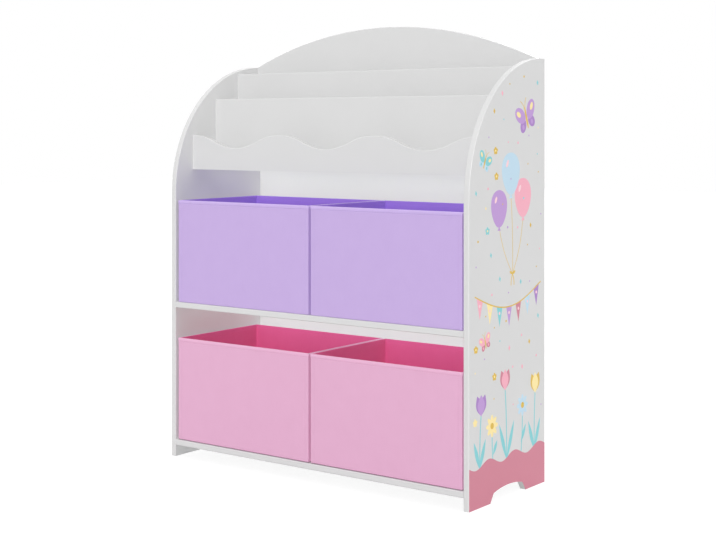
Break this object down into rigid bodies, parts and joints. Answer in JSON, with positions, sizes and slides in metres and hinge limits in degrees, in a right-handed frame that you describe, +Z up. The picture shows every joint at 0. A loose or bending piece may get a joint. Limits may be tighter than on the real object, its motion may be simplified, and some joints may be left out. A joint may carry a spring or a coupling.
{
  "type": "children's shelf unit",
  "caption": "White children's shelf unit with quarter-round sides, a stepped book rack under an arched back and pull-out fabric bins on open shelves.",
  "frame": {"origin": "on the floor below the middle of the case", "axes": "+Z up, -Y towards the open front, +X to the right seen from the front"},
  "size_m": [0.76, 0.284, 0.9279],
  "materials": {
    "white_board": "satin",
    "white_panel": "satin",
    "beech": "matte",
    "zinc": "satin",
    "cast_zinc": "satin",
    "lilac_fabric": "matte",
    "pink_fabric": "matte",
    "violet_lining": "matte",
    "magenta_lining": "matte",
    "greyboard": "matte"
  },
  "bodies": {
    "case": {"left_side_panel": "white_board", "right_side_panel": "white_board", "bottom_shelf": "white_board", "middle_shelf": "white_board", "front_rack_board": "white_board", "middle_rack_board": "white_board", "rear_rack_board": "white_board", "front_rack_floor": "white_board", "middle_rack_floor": "white_board", "rear_rack_floor": "white_board", "arched_back_board": "white_board", "back_panel": "white_panel", "wood_dowels": "beech", "cam_bolts": "zinc", "cam_locks": "cast_zinc", "back_panel_screws": "zinc"},
    "upper_left_bin": {"upper_left_bin_cover": "lilac_fabric", "upper_left_bin_binding": "lilac_fabric", "upper_left_bin_lining": "violet_lining", "upper_left_bin_cards": "greyboard"},
    "upper_left_bin_base": {"upper_left_bin_insert": "violet_lining"},
    "upper_right_bin": {"upper_right_bin_cover": "lilac_fabric", "upper_right_bin_binding": "lilac_fabric", "upper_right_bin_lining": "violet_lining", "upper_right_bin_cards": "greyboard"},
    "upper_right_bin_base": {"upper_right_bin_insert": "violet_lining"},
    "lower_left_bin": {"lower_left_bin_cover": "pink_fabric", "lower_left_bin_binding": "pink_fabric", "lower_left_bin_lining": "magenta_lining", "lower_left_bin_cards": "greyboard"},
    "lower_left_bin_base": {"lower_left_bin_insert": "magenta_lining"},
    "lower_right_bin": {"lower_right_bin_cover": "pink_fabric", "lower_right_bin_binding": "pink_fabric", "lower_right_bin_lining": "magenta_lining", "lower_right_bin_cards": "greyboard"},
    "lower_right_bin_base": {"lower_right_bin_insert": "magenta_lining"}
  },
  "joints": [
    {"name": "upper_left_bin_slide", "type": "slide", "parent": "case", "child": "upper_left_bin", "axis": [0, -1, 0], "range_m": [0, 0.27]},
    {"name": "upper_left_bin_insert_lift", "type": "slide", "parent": "upper_left_bin", "child": "upper_left_bin_base", "axis": [0, 0, 1], "range_m": [0, 0.235]},
    {"name": "upper_right_bin_slide", "type": "slide", "parent": "case", "child": "upper_right_bin", "axis": [0, -1, 0], "range_m": [0, 0.27]},
    {"name": "upper_right_bin_insert_lift", "type": "slide", "parent": "upper_right_bin", "child": "upper_right_bin_base", "axis": [0, 0, 1], "range_m": [0, 0.235]},
    {"name": "lower_left_bin_slide", "type": "slide", "parent": "case", "child": "lower_left_bin", "axis": [0, -1, 0], "range_m": [0, 0.27]},
    {"name": "lower_left_bin_insert_lift", "type": "slide", "parent": "lower_left_bin", "child": "lower_left_bin_base", "axis": [0, 0, 1], "range_m": [0, 0.235]},
    {"name": "lower_right_bin_slide", "type": "slide", "parent": "case", "child": "lower_right_bin", "axis": [0, -1, 0], "range_m": [0, 0.27]},
    {"name": "lower_right_bin_insert_lift", "type": "slide", "parent": "lower_right_bin", "child": "lower_right_bin_base", "axis": [0, 0, 1], "range_m": [0, 0.235]}
  ]
}
